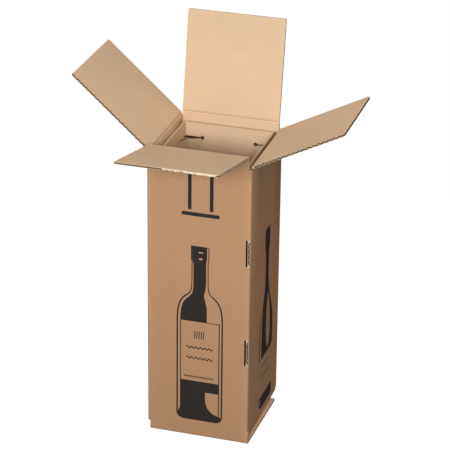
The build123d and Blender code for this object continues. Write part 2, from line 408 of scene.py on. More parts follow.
# Case and liner, whose papers and cut edges are told apart by place and direction

def by_tabs(add, place, low, half_height):
    """Where a point is right of a low x and level with one of the two stop tabs."""
    off_pair = absolute(add, math_node(add, "SUBTRACT", place[2], TAB_MIDDLE))
    off_tab = absolute(add, math_node(add, "SUBTRACT", off_pair, TAB_SPACING / 2))
    return product(add, above(add, place[0], low), below(add, off_tab, half_height))


def tab_ends(add, place, normal):
    """Where the stop tabs' cut ends are, the air of their open flutes, and their slots, the last two to get
    painted shade.
    """
    inner_face = HALF_WIDTH - BOARD
    in_wall = by_tabs(add, place, inner_face + HAIR, TAB_HEIGHT / 2)
    back = math_node(add, "ADD", place[1], HALF_DEPTH)
    end = product(add, in_wall, below(add, back, TAB_END), below(add, normal[1], -0.95))
    hollow = product(add, in_wall, below(add, place[0], HALF_WIDTH - FACING / 2),
                     step_between(add, back, TAB_END, TAB_FLUTE_START), below(add, back, TAB_FLUTE_DEPTH))
    in_slot = by_tabs(add, place, inner_face - TAB_SLOT - HAIR, TAB_HEIGHT / 2 + HAIR)
    slot = product(add, in_slot, below(add, place[0], inner_face + HAIR), below(add, back, BOARD),
                   above(add, normal[1], -0.5))
    return end, hollow, slot


def case_faces(add, normal, from_x, from_y, depth):
    """Where a point is on the outside paper of the case, and where on the inside."""
    bend_x = larger(add, math_node(add, "SUBTRACT", FOLD_RADIUS, from_x), 0.0)
    bend_y = larger(add, math_node(add, "SUBTRACT", FOLD_RADIUS, from_y), 0.0)
    squares = math_node(add, "ADD", product(add, bend_x, bend_x), product(add, bend_y, bend_y))
    span = math_node(add, "SQRT", squares)
    outside = larger(add, above(add, span, FOLD_RADIUS - FACING), below(add, normal[2], -LEVEL_FACE))
    inside = larger(add, above(add, depth, BOARD - FACING), above(add, normal[2], LEVEL_FACE))
    return outside, inside


def shaded_inside(add, board, place):
    """Inside paper of the case, with painted shade in the band behind the liner's slits."""
    inside, _ = kraft_colour(add, board, INSIDE_KRAFT)
    behind_slit = product(add, above(add, place[2], liner_high.z - SLIT_SHADE_LOW),
                          below(add, place[2], liner_high.z - SLIT_SHADE_HIGH))
    return mix_colour(add, behind_slit, inside, CREVICE_SHADE)


def case_material():
    """Case: outside paper with wear and a painted highlight by the upright folds, inside paper, cut edges,
    and painted shade in the open flutes and slots of the stop tabs and behind the liner's slits.
    """
    material, add = new_material("case_board")
    place, normal, board = wall_points(add)
    from_x = short_of(add, place[0], HALF_WIDTH)
    from_y = short_of(add, place[1], HALF_DEPTH)
    depth = math_node(add, "MINIMUM", from_x, from_y)
    is_outside, is_inside = case_faces(add, normal, from_x, from_y, depth)
    tab_end, hollow, slot = tab_ends(add, place, normal)
    inside = shaded_inside(add, board, place)
    outside, wave = worn_and_highlit_outside(add, board, from_x, from_y)
    colour = mix_colour(add, is_outside, cut_board(add, board, depth, place[2]), outside)
    colour = mix_colour(add, is_inside, colour, inside)
    colour = mix_colour(add, tab_end, colour, CUT_EDGE)
    # Painted shade in the open flutes and the slots of the stop tabs
    colour = mix_colour(add, hollow, colour, DEEP_SHADE)
    colour = mix_colour(add, slot, colour, CREVICE_SHADE)
    height = paper_height(add, board, wave)
    return paper_surface(material, add, colour, height, base=eased_side(add, from_y, place[2]))


def liner_shade(add, place):
    """Painted shade of the liner, behind the slots of the stop tabs and beside the right fold."""
    near_slot = by_tabs(add, place, liner_high.x - SLOT_SHADE_REACH, TAB_HEIGHT / 2 + SLOT_SHADE_MARGIN)
    behind_slot = product(add, near_slot, below(add, place[1], liner_low.y + SLOT_SHADE_REACH))
    along_fold = step_between(add, place[1], liner_low.y, liner_low.y + FOLD_SHADE_FADE)
    beside_fold = product(add, above(add, place[0], liner_high.x - BOARD / 2),
                          above(add, place[2], liner_high.z - BOARD / 2), along_fold,
                          FOLD_SHADE_STRENGTH)
    return larger(add, behind_slot, beside_fold)


def liner_material():
    """Liner: the same paper on both faces, and cut edges along its top and its slits, with painted shade in
    the groove of the top edge, on the slits' level edges, behind the slots and beside the right fold.
    """
    material, add = new_material("liner_board")
    stray_size = 0.0004
    place, normal, board = wall_points(add)
    paper, wave = kraft_colour(add, board, scaled(INSIDE_KRAFT, 0.94))
    from_x = short_of(add, place[0], liner_high.x)
    from_y = short_of(add, place[1], liner_high.y)
    middle = math_node(add, "SUBTRACT", math_node(add, "MINIMUM", from_x, from_y), BOARD / 2)
    stray = math_node(add, "MULTIPLY_ADD", grain(add, board, scale=500.0), 2 * stray_size, -stray_size)
    off_middle = absolute(add, math_node(add, "ADD", middle, stray))
    groove = without(add, step_between(add, off_middle, low=0.0005, high=0.0010))
    level = above(add, absolute(add, normal[2]), LEVEL_FACE)
    in_slit = below(add, place[2], liner_high.z - BOARD)
    # Darker fluting and painted shade in a groove along the middle of the cut top edge
    colour = mix_colour(add, product(add, groove, level, 0.25), paper, FLUTING_AND_SHADE)
    # Painted shade on the level cut edges of the slits and holes
    colour = mix_colour(add, product(add, in_slit, level, 0.25), colour, DEEP_SHADE)
    # Painted shade behind the slots of the stop tabs and beside the right fold
    colour = mix_colour(add, liner_shade(add, place), colour, CREVICE_SHADE)
    return paper_surface(material, add, colour, paper_height(add, board, wave))


def ink_material():
    """Matt black print that lets a little of the paper through."""
    material, add = new_material("black_print")
    board = wall_points(add)[2]
    thin = grain(add, board, scale=1100.0, stretch=(0.5, 1, 1))
    patchy = product(add, step_between(add, thin, low=0.60, high=0.72), 0.35)
    colour = mix_colour(add, patchy, INK, scaled(OUTSIDE_KRAFT, 0.35))
    return paper_surface(material, add, colour, grain(add, board, scale=1600.0), strength=0.15)


# Mesh helpers

def set_material(obj, *materials):
    """Gives an object its materials. Clearing a list that is empty would wipe the faces' marks."""
    if len(obj.data.materials):
        obj.data.materials.clear()
    for material in materials:
        obj.data.materials.append(material)


def mesh_piece(name, points, faces, marks=None, board=None, fold_shade=None, smooth_angle=None):
    """New object from points and faces, with its material marks and board places where given."""
    mesh = bpy.data.meshes.new(name)
    mesh.from_pydata([tuple(p) for p in points], [], faces)
    if marks:
        mesh.polygons.foreach_set("material_index", marks)
    if board:
        places = mesh.attributes.new("board", "FLOAT_VECTOR", "POINT")
        places.data.foreach_set("vector", [c for place in board for c in place])
    # Strength of the painted shade along a fold, where given
    if fold_shade:
        mesh.attributes.new("fold_shade", "FLOAT", "POINT").data.foreach_set("value", fold_shade)
    bm = bmesh.new()
    bm.from_mesh(mesh)
    bmesh.ops.recalc_face_normals(bm, faces=bm.faces)
    bm.to_mesh(mesh)
    bm.free()
    if smooth_angle:
        mesh.shade_smooth()
        mesh.set_sharp_from_angle(angle=math.radians(smooth_angle))
    mesh.update()
    piece = bpy.data.objects.new(name, mesh)
    bpy.context.scene.collection.objects.link(piece)
    return piece


def smooth_step(t):
    t = min(max(t, 0.0), 1.0)
    return t * t * (3 - 2 * t)


def spread(low, high, step):
    """Numbers from low to high, about a step apart."""
    count = max(1, round((high - low) / step))
    return [low + (high - low) * k / count for k in range(count + 1)]


def shares(count):
    """Numbers from 0 to 1 in a count of equal steps."""
    return [k / count for k in range(count + 1)]


class BoardMesh:
    """Gathers closed sheets of board, each between two grids of (run, length, depth) points."""

    def __init__(self):
        self.places = []
        self.faces = []
        self.marks = []

    def sheet(self, upper, lower, upper_mark, lower_mark, rim_mark):
        """Adds one closed sheet, with a material mark for each of its sides and one for its rim."""
        rows, columns = len(upper), len(upper[0])
        first = len(self.places)
        size = rows * columns
        self.places += [p for row in upper for p in row] + [p for row in lower for p in row]
        for i in range(rows - 1):
            for j in range(columns - 1):
                a = first + i * columns + j
                quad = (a, a + columns, a + columns + 1, a + 1)
                self.add_face(quad, upper_mark)
                self.add_face(tuple(k + size for k in quad[::-1]), lower_mark)
        rim = [(i, 0) for i in range(rows)]
        rim += [(rows - 1, j) for j in range(1, columns)]
        rim += [(i, columns - 1) for i in range(rows - 2, -1, -1)]
        rim += [(0, j) for j in range(columns - 2, 0, -1)]
        loop = [first + i * columns + j for i, j in rim]
        for a, b in zip(loop, loop[1:] + loop[:1]):
            self.add_face((b, a, a + size, b + size), rim_mark)

    def add_face(self, face, mark):
        self.faces.append(face)
        self.marks.append(mark)


# Flaps

# Material marks; the bare fluting's material is darkened partly as painted shade
INSIDE_PAPER, OUTSIDE_PAPER, CUT_PAPER, BARE_FLUTING, TORN_PAPER = range(5)

# Nicks in the cut tips: place along the fold, half width and depth, in metres
NICKS = {
    "front_flap": [(-0.0395, 0.0012, 0.0007), (-0.0020, 0.0022, 0.0004), (0.0130, 0.0016, 0.0005),
                   (0.0400, 0.0030, 0.0004)],
    "back_flap": [(0.0310, 0.0020, 0.0003)],
    "left_flap": [(-0.0180, 0.0018, 0.0004)],
    "right_flap": [(0.0260, 0.0022, 0.0004)],
}

Crease = namedtuple("Crease", "pivot run inward along inside")
Extent = namedtuple("Extent", "first last reach")


def crease_of(joint):
    """A top fold's pivot, run and way into the box, and its flap's length and inside way at rest."""
    pivot = Vector(joint["pos_m"])
    run = Vector(joint["axis"])
    inward = UP.cross(run)
    lean = math.radians(WIDEST_LEAN - joint["range_deg"][1])
    along = math.cos(lean) * UP - math.sin(lean) * inward
    inside = math.cos(lean) * inward + math.sin(lean) * UP
    return Crease(pivot, run, inward, along, inside)


def flap_extent(joint):
    """Ends of a flap along its fold, and its reach from the fold, measured on the CAD solid."""
    crease = crease_of(joint)
    node = frame["nodes"][joint["child"]]
    offsets = [node.matrix_world @ vertex.co - crease.pivot for vertex in node.data.vertices]
    places = [offset.dot(crease.run) for offset in offsets]
    return Extent(min(places), max(places), max(offset.dot(crease.along) for offset in offsets))


def corner_inset(length, reach):
    """How much narrower a flap is near its tip, for its rounded corners."""
    past = max(0.0, length - (reach - CORNER_RADIUS))
    return CORNER_RADIUS - math.sqrt(max(0.0, CORNER_RADIUS ** 2 - past ** 2))


def side_inset(length, seed):
    """Uneven cut of a side edge, always inwards."""
    fine = smooth_noise(Vector((length * 900, seed, 0.3)))
    broad = smooth_noise(Vector((length * 120, seed, 7.7)))
    return SIDE_RAGGED * (0.5 + 0.3 * fine + 0.4 * broad)


def tip_inset(place, nicks, seed):
    """Uneven cut of the tip at one place along it, with its nicks."""
    depth = TIP_RAGGED * (0.5 + 0.5 * smooth_noise(Vector((place * 500, seed, 2.1))))
    for middle, half_width, nick in nicks:
        depth += nick * smooth_step(1 - abs(place - middle) / half_width)
    return depth


def flap_grid(stations, columns, extent, depth_at, seed, nicks=()):
    """Grid of board points: one row for each length in stations, cut unevenly at its rims."""
    tip_zone = 0.003
    rows = []
    for length in stations:
        inset = corner_inset(length, extent.reach - TIP_BACK)
        low = extent.first + inset + side_inset(length, seed)
        high = extent.last - inset - side_inset(length, seed + 5.0)
        pull = smooth_step((length - (extent.reach - tip_zone)) / tip_zone)
        row = []
        for share in columns:
            run = low + (high - low) * share
            row.append((run, length - pull * tip_inset(run, nicks, seed), depth_at(length, run)))
        rows.append(row)
    return rows


def facing_sheet(board, extent, side, root, mark, seed, nicks):
    """One paper face of a flap, drawn in towards the other at the cut tip."""
    coarse = 0.004
    fine = 0.0004
    reach = extent.reach - TIP_BACK
    stations = spread(root, reach - coarse, coarse) + spread(reach - coarse, reach, fine)[1:]
    columns = shares(120)

    def outer(length, run):
        bow = FACE_BOW * smooth_noise(Vector((run * 40, length * 40, seed)))
        pinch = TIP_PINCH * smooth_step((length - (reach - TIP_SOLID)) / TIP_SOLID)
        return side * (BOARD / 2 - FACE_BOW + min(bow, FACE_BOW) - pinch)

    def inner(length, run):
        return outer(length, run) - side * FACING

    board.sheet(flap_grid(stations, columns, extent, outer, seed, nicks),
                flap_grid(stations, columns, extent, inner, seed, nicks), mark, BARE_FLUTING, CUT_PAPER)


def medium_sheet(board, extent, seed):
    """Wavy middle paper of a flap."""
    root_overlap = 0.0005
    reach = extent.reach - TIP_BACK
    stations = spread(ROOT_SOLID - root_overlap, reach - TIP_SOLID, step=FLUTE_PITCH / 14)
    columns = shares(6)
    height = WAVE_HEIGHT + WAVE_BITE

    def wave(length, offset):
        slope = -height * FLUTE_TURN * math.sin(FLUTE_TURN * length)
        size = math.hypot(1, slope)
        return length - offset * slope / size, height * math.cos(FLUTE_TURN * length) + offset / size

    def grid(offset):
        rows = flap_grid(stations, columns, extent, lambda length, run: 0.0, seed)
        moved = []
        for length, row in zip(stations, rows):
            new_length, depth = wave(length, offset)
            moved.append([(run, new_length, depth) for run, _, _ in row])
        return moved

    board.sheet(grid(MEDIUM / 2), grid(-MEDIUM / 2), BARE_FLUTING, BARE_FLUTING, CUT_PAPER)


def root_wedge(board, extent, seed):
    """Board crushed to a blunt wedge at the fold."""
    skin = 0.00008
    bluntness = 0.00001
    stations = sorted(spread(CREASE_GAP, ROOT_SOLID, step=0.0005) + [INNER_ROOT, OUTER_ROOT])
    half = BOARD / 2 - skin
    columns = shares(24)

    def top(length, run):
        return half * min(1.0, (length - CREASE_GAP) / (INNER_ROOT - CREASE_GAP))

    def bottom(length, run):
        return -half * min(1.0, (length - CREASE_GAP) / (OUTER_ROOT - CREASE_GAP)) - bluntness

    board.sheet(flap_grid(stations, columns, extent, top, seed),
                flap_grid(stations, columns, extent, bottom, seed), CUT_PAPER, CUT_PAPER, CUT_PAPER)


def tip_core(board, extent, seed, nicks):
    """Crushed fluting between the faces at the cut tip, a little back from their edges."""
    overlap = 0.0014
    ripple_size = 0.00012
    ripple_most = 0.0001
    reach = extent.reach - TIP_BACK
    stations = spread(reach - TIP_SOLID - overlap, reach - CORE_BACK, step=0.0005)
    columns = shares(120)
    half = BOARD / 2 - FACING / 2 - TIP_PINCH

    def place(length, run):
        ripple = ripple_size * smooth_noise(Vector((run * 700, length * 300, seed)))
        return half + min(ripple, ripple_most)

    upper = flap_grid(stations, columns, extent, place, seed, nicks)
    lower = flap_grid(stations, columns, extent, lambda length, run: -place(length, run), seed, nicks)
    board.sheet(upper, lower, CUT_PAPER, CUT_PAPER, BARE_FLUTING)


def crushed_side(board, extent):
    """Far side edge pressed shut, so that its flutes don't show."""
    set_back = 0.0002
    edge = extent.last - set_back
    half = BOARD / 2 - FACING / 2
    stations = spread(ROOT_SOLID, extent.reach - TIP_SOLID, step=0.0015)

    def rows(level):
        grid = []
        for length in stations:
            shift = SIDE_RAGGED * smooth_noise(Vector((length * 500, level * 900, 3.0)))
            face = edge - (SIDE_RAGGED / 2 + shift / 2)
            grid.append([(face - CRUSH_DEPTH, length, level), (face, length, level)])
        return grid

    board.sheet(rows(half), rows(-half), CUT_PAPER, CUT_PAPER, TORN_PAPER)


def torn_rim(board, extent, nicks, seed):
    """Loose light fibres that hang over part of the cut tip and follow the cut of its inside face."""
    thickness = 0.0001
    sunk = 0.0002
    clearance = 0.00002
    fade_length = 0.004
    inside_face_seed = 1.0
    end = extent.last - TORN_END_GAP
    columns = spread(TORN_START, end, step=0.0005)
    upper_level = BOARD / 2 - FACE_BOW - TIP_PINCH - FACING / 2

    def row(share, back):
        points = []
        for run in columns:
            fade = smooth_step((run - TORN_START) / fade_length) * smooth_step((end - run) / fade_length)
            ragged = 0.55 + 0.45 * smooth_noise(Vector((run * 260, seed, 0.5)))
            ragged += 0.30 * smooth_noise(Vector((run * 1400, seed, 4.5)))
            drop = fade * max(0.15, min(1.0, ragged)) * (BOARD - 2 * FACING)
            tip = extent.reach - TIP_BACK - tip_inset(run, nicks, inside_face_seed)
            points.append((run, tip + clearance + back, upper_level - share * drop))
        return points

    drops = (0.0, 0.35, 0.7, 1.0)
    front = [row(share, thickness) for share in drops]
    behind = [row(share, -sunk) for share in drops]
    board.sheet(front, behind, TORN_PAPER, TORN_PAPER, TORN_PAPER)


def flap_piece(joint, number, materials):
    """Corrugated flap: two faces, wavy paper between them, crushed root and tip, each with its seed."""
    crease = crease_of(joint)
    extent = flap_extent(joint)
    name = joint["child"]
    nicks = NICKS[name]
    board = BoardMesh()
    facing_sheet(board, extent, 1, INNER_ROOT, INSIDE_PAPER, number + 1.0, nicks)
    facing_sheet(board, extent, -1, OUTER_ROOT, OUTSIDE_PAPER, number + 2.0, nicks)
    medium_sheet(board, extent, number + 3.0)
    root_wedge(board, extent, number + 4.0)
    tip_core(board, extent, number + 5.0, nicks)
    if name == "front_flap":
        crushed_side(board, extent)
        torn_rim(board, extent, nicks, number + 6.0)
    points = [crease.pivot + r * crease.run + s * crease.along + t * crease.inside
              for r, s, t in board.places]
    shifted = [(r + number, s, t) for r, s, t in board.places]
    piece = mesh_piece(name + "_board", points, board.faces, board.marks, shifted, smooth_angle=35)
    set_material(piece, *materials)
    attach(piece, name)
    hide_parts(name)
    return piece


# Paper over the top folds

def dip_at(t, side, room):
    """How deep the paper over a fold sinks, from its wall at 0 to its flap at 1."""
    most, share = FOLD_DIP[side]
    trough = min(most, share * room)
    most, share = FOLD_GROOVE
    groove = min(most, share * room)
    return trough * math.sin(math.pi * t) + groove * math.exp(-((t - 0.5) / GROOVE_WIDTH) ** 2)


def fold_section(crease, side, root):
    """Points across a fold's paper, from the wall to the flap, with how far each is towards the flap."""
    inward, inside = crease.inward, crease.inside
    wall_edge = crease.pivot + side * BOARD / 2 * inward - root * UP
    flap_edge = crease.pivot + side * (BOARD / 2) * inside + root * crease.along
    middle = crease.pivot - (wall_edge + flap_edge) / 2
    sink_way = middle.normalized() if middle.length > 1e-6 else -side * inward
    section = [(wall_edge - FOLD_OVERLAP * UP + FOLD_LIFT * side * inward, 0.0)]
    for t in shares(14):
        out = side * FOLD_LIFT * inward.lerp(inside, t)
        sunk = sink_way * dip_at(t, side, middle.length)
        section.append((wall_edge.lerp(flap_edge, t) + sunk + out, t))
    section.append((flap_edge + FOLD_OVERLAP * crease.along + FOLD_LIFT * side * inside, 1.0))
    return section, wall_edge, flap_edge


def fold_shade_line(name, section):
    """Length across a fold's paper and strength of its line of painted shade, at each point of the section.
    """
    strength, width = WIDE_FOLD_SHADE_LINES.get(name, FOLD_SHADE_LINE)
    line = []
    length = 0.0
    for index, (point, t) in enumerate(section):
        length += (point - section[index - 1][0]).length if index else 0.0
        line.append((length, strength * math.exp(-((t - 0.5) / width) ** 2)))
    return line


def fold_piece(name, joint, number, side, root, material):
    """Paper that bridges the crushed fold between a wall and its flap, on the inside or the outside, with a
    line of painted shade along its middle.
    """
    crease = crease_of(joint)
    extent = flap_extent(joint)
    section, wall_edge, flap_edge = fold_section(crease, side, root)
    places = spread(extent.first + SIDE_RAGGED / 2, extent.last - SIDE_RAGGED / 2, step=0.0025)
    upper = []
    lower = []
    for point, t in section:
        into = -side * crease.inward.lerp(crease.inside, t).normalized() * FOLD_PAPER
        upper.append([point + place * crease.run for place in places])
        lower.append([point + into + place * crease.run for place in places])
    grid = BoardMesh()
    grid.sheet(upper, lower, 0, 0, 0)
    line = fold_shade_line(name, section)
    board = [(place + number, length, 0.0) for length, _ in line for place in places] * 2
    # Strength of the painted shade line at each point, for both faces of the paper
    fold_shade = [mark for _, mark in line for _ in places] * 2
    piece = mesh_piece(name, grid.places, grid.faces, None, board, fold_shade, smooth_angle=50)
    set_material(piece, material)
    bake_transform(piece)
    return piece


# Print

def filled_shape(name, outlines, place, material):
    """Flat print: closed outlines in millimetres, filled by the even-odd rule, on a wall's plane."""
    curve = bpy.data.curves.new(name, "CURVE")
    curve.dimensions = "2D"
    curve.fill_mode = "BOTH"
    for outline in outlines:
        spline = curve.splines.new("POLY")
        spline.points.add(len(outline) - 1)
        for point, (u, v) in zip(spline.points, outline):
            point.co = (u * MILLIMETRE, v * MILLIMETRE, 0, 1)
        spline.use_cyclic_u = True
    source = bpy.data.objects.new(name + "_curve", curve)
    bpy.context.scene.collection.objects.link(source)
    bpy.context.view_layer.update()
    mesh = bpy.data.meshes.new_from_object(source)
    bpy.data.objects.remove(source)
    mesh.transform(place)
    mesh.name = name
    piece = bpy.data.objects.new(name, mesh)
    bpy.context.scene.collection.objects.link(piece)
    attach(piece, "case")
    set_material(piece, material)
    return piece


def wall_place(turn, distance):
    """Print plane of the wall at a turn about the box: u to its right, v up, from its foot's middle."""
    flat = Matrix(((1, 0, 0, 0), (0, 0, -1, -distance - INK_LIFT), (0, 1, 0, 0), (0, 0, 0, 1)))
    return Matrix.Rotation(math.radians(turn), 4, "Z") @ flat


def rectangle(left, right, low, high):
    return [(left, low), (right, low), (right, high), (left, high)]


def about(centre, points):
    """Points whose first number is measured from an upright centre line."""
    return [(centre + u, v) for u, v in points]


def arc(centre, radius_u, radius_v, start, end, steps=12):
    """Points on an ellipse's arc, with the angles in degrees."""
    points = []
    for step in range(steps + 1):
        angle = math.radians(start + (end - start) * step / steps)
        points.append((centre[0] + radius_u * math.cos(angle), centre[1] + radius_v * math.sin(angle)))
    return points


def bend(a, b, c, d, steps=14):
    """Points on the cubic curve from a to d that is drawn towards b and c."""
    points = []
    for t in shares(steps):
        weights = ((1 - t) ** 3, 3 * t * (1 - t) ** 2, 3 * t * t * (1 - t), t ** 3)
        points.append(tuple(sum(w * p[k] for w, p in zip(weights, (a, b, c, d))) for k in (0, 1)))
    return points


def mirrored(side, centre):
    """Whole outline from its right half, which runs from the foot's middle to the top's middle."""
    left = [(centre - u, v) for u, v in side[::-1] if u > 0]
    return about(centre, side) + left


def inset(outline, distance_at):
    """The same closed outline, moved inwards by the distance that each height asks for."""
    moved = []
    count = len(outline)
    for index in range(count):
        a, p, b = (Vector(outline[k % count]) for k in (index - 1, index, index + 1))
        before, after = (p - a).normalized(), (b - p).normalized()
        normal = Vector((-before.y, before.x)) + Vector((-after.y, after.x))
        normal.normalize()
        stretch = max(0.5, normal.dot(Vector((-after.y, after.x))))
        moved.append(tuple(p + normal * distance_at(p.y) / stretch))
    return moved


def wave_line(left, right, level, height, pitch, thickness):
    """Wavy stroke of even thickness, measured upright."""
    places = spread(left, right, step=pitch / 8)
    middle = [level + height * math.sin(2 * math.pi * (u - left) / pitch) for u in places]
    lower = [(u, v - thickness / 2) for u, v in zip(places, middle)]
    upper = [(u, v + thickness / 2) for u, v in zip(places, middle)]
    return lower + upper[::-1]


def arrows_shapes():
    """Two arrows that point up from a bar, the usual mark for this side up."""
    shaft = 2.1
    head = 6.6
    foot = 291.0
    neck = 338.0
    tip = 350.0
    arrow = [(-shaft, foot), (shaft, foot), (shaft, neck), (head, neck), (0.0, tip), (-head, neck),
             (-shaft, neck)]
    bar = rectangle(-19.6, 24.8, 283.3, 287.8)
    return [bar] + [about(middle, arrow) for middle in (-10.2, 15.4)]


# Wine bottle with square shoulders, in millimetres. Fields that meet keep a small gap.

TALL_CENTRE = 2.4
TALL_TOP = 246.4
TALL_LINE = 1.8
TALL_LINE_LESS = 0.7
CAP_LINE = 1.1
FIELD_GAP = 0.02
SHOULDER_INSET = 4.4
GLASS_LEFT = TALL_CENTRE - 23.5
LABEL_RIGHT = TALL_CENTRE + 22.8
LABEL_LOW = 73.3
LABEL_HIGH = 150.6
LABEL_FRAME = 0.9
BRIGHT_SIDE = TALL_CENTRE + 8.4


def tall_line_at(height):
    """Width of the outline's line, which gets thinner towards the neck."""
    return TALL_LINE - TALL_LINE_LESS * smooth_step((height - 180.0) / 15.0)


def tall_rim_at(height):
    return tall_line_at(height) + FIELD_GAP


def tall_outline():
    side = [(0.0, 21.4)] + arc((19.4, 29.9), 8.5, 8.5, -90, 0, 8)
    side += bend((27.9, 150.0), (27.9, 171.0), (24.0, 178.0), (17.5, 183.5), 16)
    side += bend((14.0, 186.2), (11.4, 188.5), (10.4, 192.0), (10.2, 199.0), 6)
    side += [(10.0, 227.5), (10.9, 229.5), (10.9, 245.4), (10.3, TALL_TOP), (0.0, TALL_TOP)]
    return mirrored(side, TALL_CENTRE)


def tall_upper_glass(outline):
    """Dark glass above the label, which leaves the right side bright."""
    cap = TALL_TOP - CAP_LINE - FIELD_GAP
    half = len(outline) // 2
    shoulder = inset(outline[half + 1:], lambda height: SHOULDER_INSET)
    glass = about(TALL_CENTRE, [(-9.7, cap), (-9.7, 230.4), (-8.8, 227.6), (-7.8, 223.0), (-7.8, 196.0),
                                (-9.4, 186.0)])
    glass += [p for p in shoulder if 152.0 < p[1] < 181.0]
    glass += [(GLASS_LEFT, LABEL_HIGH), (BRIGHT_SIDE, LABEL_HIGH)]
    glass += bend(*about(TALL_CENTRE, [(8.4, 168.0), (7.5, 176.0), (4.9, 182.0), (4.9, 186.0)]), 8)
    glass += about(TALL_CENTRE, [(6.6, 192.0), (7.2, 200.0), (7.2, 227.0), (8.2, 231.0), (8.2, cap)])
    return glass


def tall_lower_glass(outline):
    """Dark glass below the label, with the bright lower right side left out."""
    rim = inset(outline, tall_rim_at)
    half = len(outline) // 2
    glass = [(GLASS_LEFT, LABEL_LOW), (LABEL_RIGHT, LABEL_LOW), (LABEL_RIGHT, 59.8)]
    glass += about(TALL_CENTRE, [(7.0, 59.8)])
    glass += bend(*about(TALL_CENTRE, [(7.0, 50.0), (7.6, 40.0), (13.0, 31.5), (23.6, 30.6)]), 10)
    glass += [p for p in rim[half:0:-1] if p[1] < 29.0]
    glass += [p for p in rim[:half:-1] if p[1] < 36.0]
    return glass + [(GLASS_LEFT, 37.0)]


def tall_label():
    """Frame of the label, with five strokes and three waves in place of writing."""
    frame_lines = [rectangle(LABEL_RIGHT + FIELD_GAP, LABEL_RIGHT + 1.2, 31.0, LABEL_HIGH + LABEL_FRAME),
                   rectangle(GLASS_LEFT, GLASS_LEFT + 1.0, LABEL_LOW + FIELD_GAP, LABEL_HIGH - FIELD_GAP),
                   rectangle(BRIGHT_SIDE + FIELD_GAP, LABEL_RIGHT, LABEL_HIGH, LABEL_HIGH + LABEL_FRAME)]
    stroke = [(0.0, 129.0), (1.1, 129.0), (1.9, 138.5), (0.8, 138.5)]
    strokes = [about(left, stroke) for left in (-4.6, -1.9, 0.8, 3.5, 6.2)]
    left = TALL_CENTRE - 16
    right = TALL_CENTRE + 16
    waves = [wave_line(left, right, level, height=1.1, pitch=5.2, thickness=1.7) for level in (117.0, 103.5)]
    waves.append(wave_line(TALL_CENTRE - 19, TALL_CENTRE + 17, 78.8, height=0.8, pitch=4.2, thickness=1.4))
    return frame_lines + strokes + waves


def tall_bottle_shapes():
    """Wine bottle: outline, dark glass with a bright right side, label, and two rings at the mouth."""
    outline = tall_outline()
    middle = TALL_CENTRE + 0.8
    rings = [arc((middle, 238.8), 3.2, 0.9, 0, 330), arc((middle, 230.8), 2.4, 1.3, 0, 330)]
    return [outline, inset(outline, tall_line_at), tall_upper_glass(outline), tall_lower_glass(outline),
            *tall_label(), *rings]


# Sparkling wine bottle with sloping shoulders, in millimetres

SLIM_CENTRE = 10.5
SLIM_HALF = 27.2
SLIM_LINE = 2.8
SLIM_LABEL_TOP = 84.0
SLIM_CAP = [(6.2, 214.0), (9.7, 226.0), (9.7, 238.0), (8.2, 247.0)]
LINE_MERGE = 157.0


def slim_glass(shoulder, merge):
    """Dark glass down to the label, which parts from the left line below the shoulder."""
    glass = about(SLIM_CENTRE, [(-18.6, SLIM_LABEL_TOP), (20.0, SLIM_LABEL_TOP),
                                (25.5, SLIM_LABEL_TOP + 1.5), (SLIM_HALF, SLIM_LABEL_TOP + 7.0)])
    glass += about(SLIM_CENTRE, shoulder + SLIM_CAP)
    glass += [(SLIM_CENTRE - u, v) for u, v in SLIM_CAP[::-1] + shoulder[:merge:-1]]
    start = glass[-1]
    edge = SLIM_CENTRE - 18.6
    return glass + bend(start, (start[0] - 4.0, 148.0), (edge, 128.0), (edge, 104.0))[1:]


def slim_left_line(shoulder, merge):
    """Line along the bottle's left side, which thins out as it meets the dark glass."""
    flank = [(SLIM_HALF, SLIM_LABEL_TOP)] + shoulder[:merge]
    widths = [SLIM_LINE * min(1.0, (merge - k) / 8) for k in range(merge + 1)]
    line = [(SLIM_CENTRE - u, v) for u, v in flank]
    line += [(SLIM_CENTRE - u + width, v) for (u, v), width in zip(flank[::-1], widths[::-1])]
    return line


def slim_bottle_shapes():
    """Sparkling wine bottle: dark glass, a bright lens, a left line, a dark foot and two label bars."""
    shoulder = bend((SLIM_HALF, 116.0), (SLIM_HALF, 142.0), (9.0, 152.0), (6.2, 186.0), 24)
    merge = next(k for k, p in enumerate(shoulder) if p[1] > LINE_MERGE)
    lens = bend(*about(SLIM_CENTRE, [(6.0, 162.0), (-1.5, 144.0), (-4.0, 112.0), (5.0, 89.0)]))
    lens += bend(*about(SLIM_CENTRE, [(12.0, 92.0), (20.0, 112.0), (15.0, 144.0), (6.4, 162.0)]))
    foot = about(SLIM_CENTRE, [(-24.5, 33.0)])
    foot += bend(*about(SLIM_CENTRE, [(-24.5, 26.0), (-23.0, 19.0), (-20.0, 17.2), (-13.0, 17.2)]), 8)
    foot += about(SLIM_CENTRE, [(23.0, 17.2), (26.0, 20.0), (26.5, 33.0)])
    glint = about(SLIM_CENTRE, [(-21.0, 30.5), (-21.0, 25.0), (-18.0, 20.5), (-17.0, 21.5), (-18.5, 25.0),
                                (-18.5, 30.5)])
    bars = [rectangle(SLIM_CENTRE - 16, SLIM_CENTRE + 16, low, low + 1.2) for low in (72.0, 58.0)]
    return [slim_glass(shoulder, merge), lens, slim_left_line(shoulder, merge), foot, glint, *bars]


# Studio

